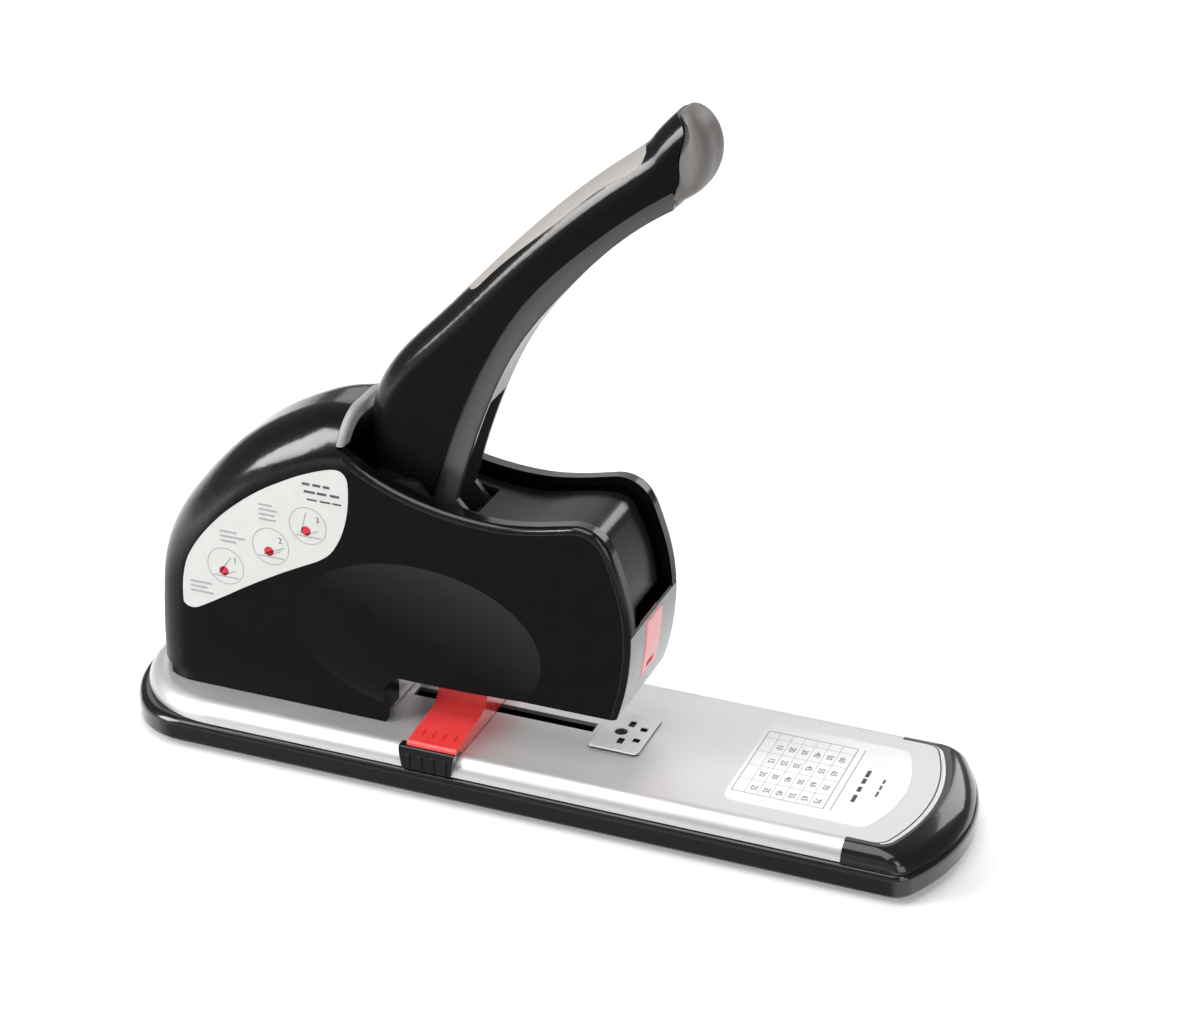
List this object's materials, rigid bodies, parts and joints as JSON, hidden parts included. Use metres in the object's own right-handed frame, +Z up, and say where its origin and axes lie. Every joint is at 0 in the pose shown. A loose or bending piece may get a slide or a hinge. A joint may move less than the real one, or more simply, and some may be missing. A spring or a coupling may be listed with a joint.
{
  "type": "stapler",
  "caption": "Heavy duty lever stapler with a long silver base, black body, raised curved handle, pull-out magazine and red sliding paper stop.",
  "frame": {"origin": "centre of the base's rectangle on the table", "axes": "+X towards the stapling end, +Z up, -Y the side with the paper stop's grip"},
  "size_m": [0.29, 0.075, 0.2354],
  "materials": {
    "black_gloss": "polished moulded black",
    "black_plastic": "satin moulded black",
    "dark_grey_plastic": "polished dark grey",
    "light_grey_plastic": "satin light grey",
    "silver_sheet": "satin silver sheet",
    "plated_steel": "zinc plated",
    "blackened_steel": "black oxide",
    "bright_steel": "bright plated",
    "bronze": "oiled sintered bronze",
    "grey_metal": "satin mid grey",
    "red_plastic": "glossy red",
    "grip_rubber": "soft matt beige grey",
    "tip_plastic": "satin grey brown",
    "foot_rubber": "matt",
    "label_paper": "printed film"
  },
  "bodies": {
    "base": {"base_tray": "black_plastic", "rubber_feet": "foot_rubber", "base_cover": "silver_sheet", "nose_cap": "black_plastic", "anvil_plate": "bright_steel", "anvil_screw": "bright_steel", "base_screws": "plated_steel", "table_label": "label_paper", "near_housing": "black_gloss", "far_housing": "black_gloss", "housing_screws": "plated_steel", "collar_ring": "light_grey_plastic", "head_cover": "dark_grey_plastic", "near_frame": "blackened_steel", "far_frame": "blackened_steel", "frame_floor": "silver_sheet", "pivot_shaft": "blackened_steel", "lever_shaft": "blackened_steel", "lever_spacers": "blackened_steel", "shaft_clips": "blackened_steel", "magazine_channel": "plated_steel", "channel_rivets": "plated_steel", "spring_seat": "black_plastic", "return_spring": "plated_steel", "side_label": "label_paper"},
    "handle": {"handle_lever": "grey_metal", "handle_cover": "black_gloss", "grip_pad": "grip_rubber", "tip_cap": "tip_plastic", "cover_pins": "plated_steel", "pivot_bush": "bronze", "crank_pin": "plated_steel", "crank_roller": "plated_steel"},
    "drive": {"drive_lever": "plated_steel"},
    "ram": {"ram_block": "plated_steel", "driver_blade": "plated_steel", "ram_rivets": "plated_steel"},
    "magazine": {"staple_rail": "plated_steel", "nose_plate": "silver_sheet", "staple_strip": "bright_steel", "guide_rod": "plated_steel", "pusher_spring": "plated_steel", "button_spring": "plated_steel"},
    "staple_pusher": {"pusher": "black_plastic"},
    "button": {"release_button": "red_plastic"},
    "paper_stop": {"stop_block": "red_plastic", "stop_grip": "black_plastic", "stop_shoe": "black_plastic", "stop_screw": "plated_steel"}
  },
  "joints": [
    {"name": "handle_press", "type": "hinge", "parent": "base", "child": "handle", "pos_m": [-0.041, 0, 0.0955], "axis": [0, -1, 0], "range_deg": [-36, 0], "stiffness_Nm_per_rad": 1.2, "springref_deg": 20.05},
    {"name": "lever_swing", "type": "hinge", "parent": "base", "child": "drive", "pos_m": [-0.104, 0, 0.064], "axis": [0, -1, 0], "range_deg": [-7.4, 0], "deforming": ["return_spring"]},
    {"name": "driver_drop", "type": "slide", "parent": "base", "child": "ram", "axis": [0, 0, 1], "range_m": [-0.01646, 0]},
    {"name": "magazine_draw", "type": "slide", "parent": "base", "child": "magazine", "axis": [1, 0, 0], "range_m": [0, 0.06]},
    {"name": "pusher_travel", "type": "slide", "parent": "magazine", "child": "staple_pusher", "axis": [1, 0, 0], "range_m": [-0.02, 0], "stiffness_N_per_m": 60, "springref_m": 0.03, "deforming": ["pusher_spring"]},
    {"name": "button_press", "type": "slide", "parent": "magazine", "child": "button", "axis": [-1, 0, 0], "range_m": [0, 0.0018], "stiffness_N_per_m": 500, "springref_m": -0.001, "deforming": ["button_spring"]},
    {"name": "stop_slide", "type": "slide", "parent": "base", "child": "paper_stop", "axis": [1, 0, 0], "range_m": [-0.01, 0.032]}
  ],
  "couplings": [
    {"joint": "lever_swing", "follows": "handle_press", "ratio": 0.2055},
    {"joint": "driver_drop", "follows": "handle_press", "m_per_rad": 0.02619}
  ]
}
